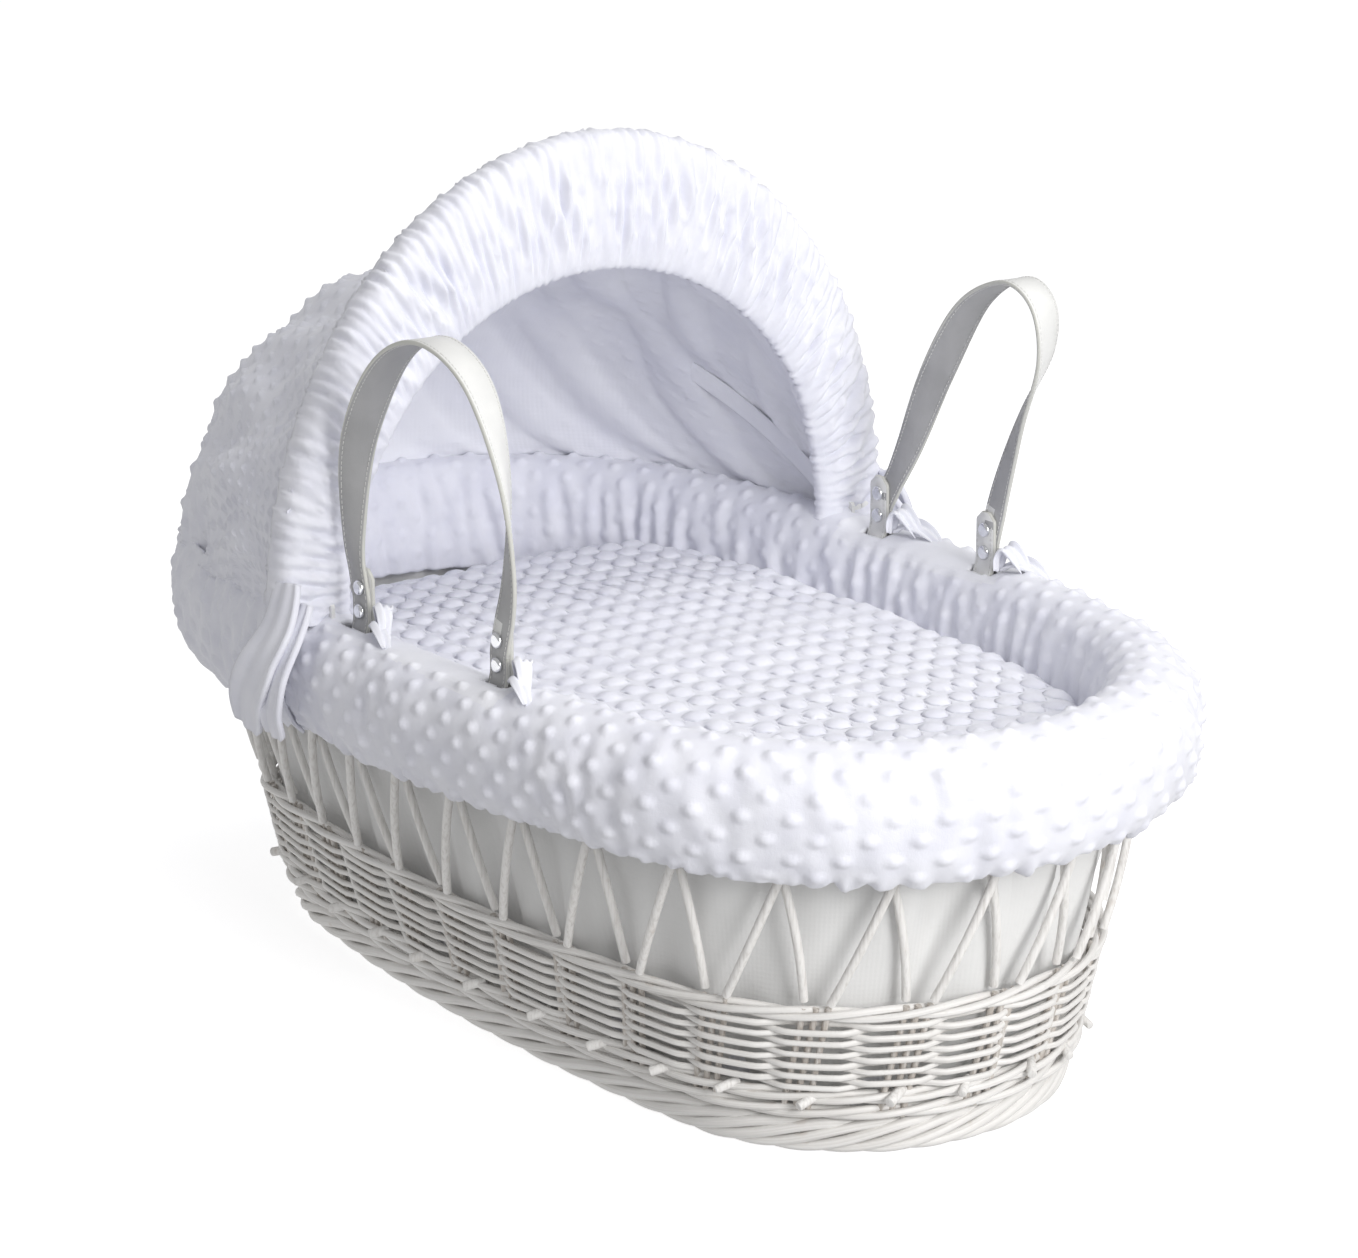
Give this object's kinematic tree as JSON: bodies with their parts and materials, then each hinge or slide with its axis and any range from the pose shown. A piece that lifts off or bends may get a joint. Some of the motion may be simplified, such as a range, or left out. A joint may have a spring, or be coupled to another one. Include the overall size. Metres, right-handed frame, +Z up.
{
  "type": "baby basket with hood",
  "caption": "Oval wicker baby basket with open lattice sides, a padded dimple-fabric collar, a quilt, two strap handles and a folding gathered hood.",
  "frame": {"origin": "centre of the footprint on the floor", "axes": "+X to the foot end, hood at -X, +Y across to the far side, +Z up"},
  "size_m": [0.9001, 0.5436, 0.6032],
  "materials": {
    "painted_willow": "off-white paint over willow",
    "cotton_lining": "plain white cotton",
    "mattress_foam": "open-cell foam",
    "dimple_fabric": "white plush with raised dots",
    "cotton_ties": "white cotton ribbon",
    "white_metal": "white enamel",
    "bright_steel": "bright",
    "white_plastic": "satin",
    "strap_leather": "off-white leather, grey underside",
    "chrome_rivets": "polished"
  },
  "bodies": {
    "basket": {"base_cross_sticks": "painted_willow", "base_long_sticks": "painted_willow", "base_weave": "painted_willow", "foot_border": "painted_willow", "lower_wale_outside": "painted_willow", "lower_wale_inside": "painted_willow", "weave_row_01": "painted_willow", "weave_row_02": "painted_willow", "weave_row_03": "painted_willow", "weave_row_04": "painted_willow", "weave_row_05": "painted_willow", "weave_row_06": "painted_willow", "weave_row_07": "painted_willow", "weave_row_08": "painted_willow", "weave_row_09": "painted_willow", "weave_row_10": "painted_willow", "weave_row_11": "painted_willow", "weave_row_12": "painted_willow", "upper_wale_outside": "painted_willow", "upper_wale_inside": "painted_willow", "side_stakes": "painted_willow", "lattice_rods_outside": "painted_willow", "lattice_rods_inside": "painted_willow", "rim_border": "painted_willow", "lining_bag": "cotton_lining", "mattress_cover": "cotton_lining", "mattress_foam": "mattress_foam", "underlay_cushion": "cotton_lining", "coverlet": "dimple_fabric", "padded_collar": "dimple_fabric", "hood_brackets": "white_metal", "hood_bracket_screws": "bright_steel", "hood_pivot_pins": "bright_steel", "hood_pivot_spacers": "white_plastic", "hood_canopy": "dimple_fabric", "hood_skirt": "dimple_fabric", "hood_ties": "cotton_ties"},
    "handle_near": {"handle_strap_near": "strap_leather", "handle_rivets_near": "chrome_rivets"},
    "handle_far": {"handle_strap_far": "strap_leather", "handle_rivets_far": "chrome_rivets"},
    "hood_front": {"hood_front_hoop": "white_plastic", "hood_front_band": "dimple_fabric"},
    "hood_mid": {"hood_mid_hoop": "white_plastic"}
  },
  "joints": [
    {"name": "handle_near_swing", "type": "hinge", "parent": "basket", "child": "handle_near", "pos_m": [0.041, -0.22026, 0.278], "axis": [0.9994, 0.0344, 0], "range_deg": [-60, 90]},
    {"name": "handle_far_swing", "type": "hinge", "parent": "basket", "child": "handle_far", "pos_m": [0.038, 0.22138, 0.278], "axis": [-0.9995, 0.0318, 0], "range_deg": [-60, 90]},
    {"name": "hood_fold", "type": "hinge", "parent": "basket", "child": "hood_front", "pos_m": [-0.08, 0, 0.3], "axis": [0, -1, 0], "range_deg": [0, 60], "deforming": ["hood_canopy"]},
    {"name": "hood_mid_fold", "type": "hinge", "parent": "basket", "child": "hood_mid", "pos_m": [-0.08, 0, 0.3], "axis": [0, -1, 0], "range_deg": [0, 24], "deforming": ["hood_canopy"]}
  ],
  "couplings": [
    {"joint": "hood_mid_fold", "follows": "hood_fold", "ratio": 0.4}
  ]
}
